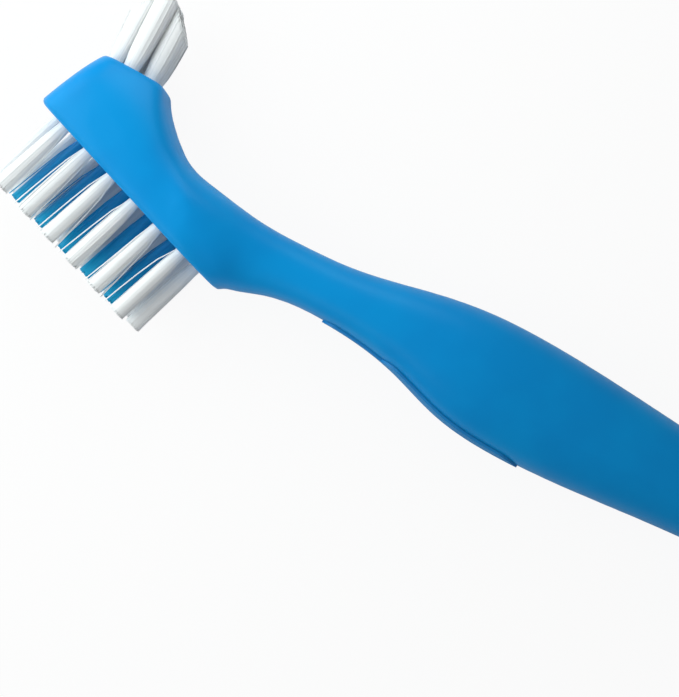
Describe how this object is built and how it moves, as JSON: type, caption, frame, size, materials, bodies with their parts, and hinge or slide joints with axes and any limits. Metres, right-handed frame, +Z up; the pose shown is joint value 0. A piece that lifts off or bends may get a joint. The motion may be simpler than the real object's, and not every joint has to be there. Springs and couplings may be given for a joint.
{
  "type": "denture brush",
  "caption": "Two-sided denture brush: a bent moulded handle with a soft thumb grip, a long brush of white and blue tufts on one side of the head and a pointed white brush on the other",
  "frame": {"origin": "below the middle of the brush's box, on the surface that it lies on", "axes": "+X along the handle towards the head, +Y the way the long brush points, +Z up through the thickness of the brush as it lies on its side"},
  "size_m": [0.1756, 0.0424, 0.0149],
  "materials": {
    "handle_plastic": "smooth blue polypropylene with a soft satin gloss",
    "soft_grip": "soft blue elastomer, slightly duller than the handle",
    "white_bristle": "translucent white nylon filament",
    "blue_bristle": "translucent blue nylon filament",
    "anchor_metal": "plain stamped strip"
  },
  "bodies": {
    "root": {"handle": "handle_plastic", "thumb_grip": "soft_grip", "main_brush_anchors": "anchor_metal", "pointed_brush_anchors": "anchor_metal", "white_tuft_01": "white_bristle", "white_tuft_02": "white_bristle", "white_tuft_03": "white_bristle", "white_tuft_04": "white_bristle", "white_tuft_05": "white_bristle", "white_tuft_06": "white_bristle", "white_tuft_07": "white_bristle", "white_tuft_08": "white_bristle", "white_tuft_09": "white_bristle", "white_tuft_10": "white_bristle", "white_tuft_11": "white_bristle", "white_tuft_12": "white_bristle", "white_tuft_13": "white_bristle", "white_tuft_14": "white_bristle", "blue_tuft_01": "blue_bristle", "blue_tuft_02": "blue_bristle", "blue_tuft_03": "blue_bristle", "blue_tuft_04": "blue_bristle", "blue_tuft_05": "blue_bristle", "point_tuft_01": "white_bristle", "point_tuft_02": "white_bristle", "point_tuft_03": "white_bristle", "point_tuft_04": "white_bristle", "point_tuft_05": "white_bristle", "point_tuft_06": "white_bristle", "point_tuft_07": "white_bristle"}
  },
  "joints": []
}
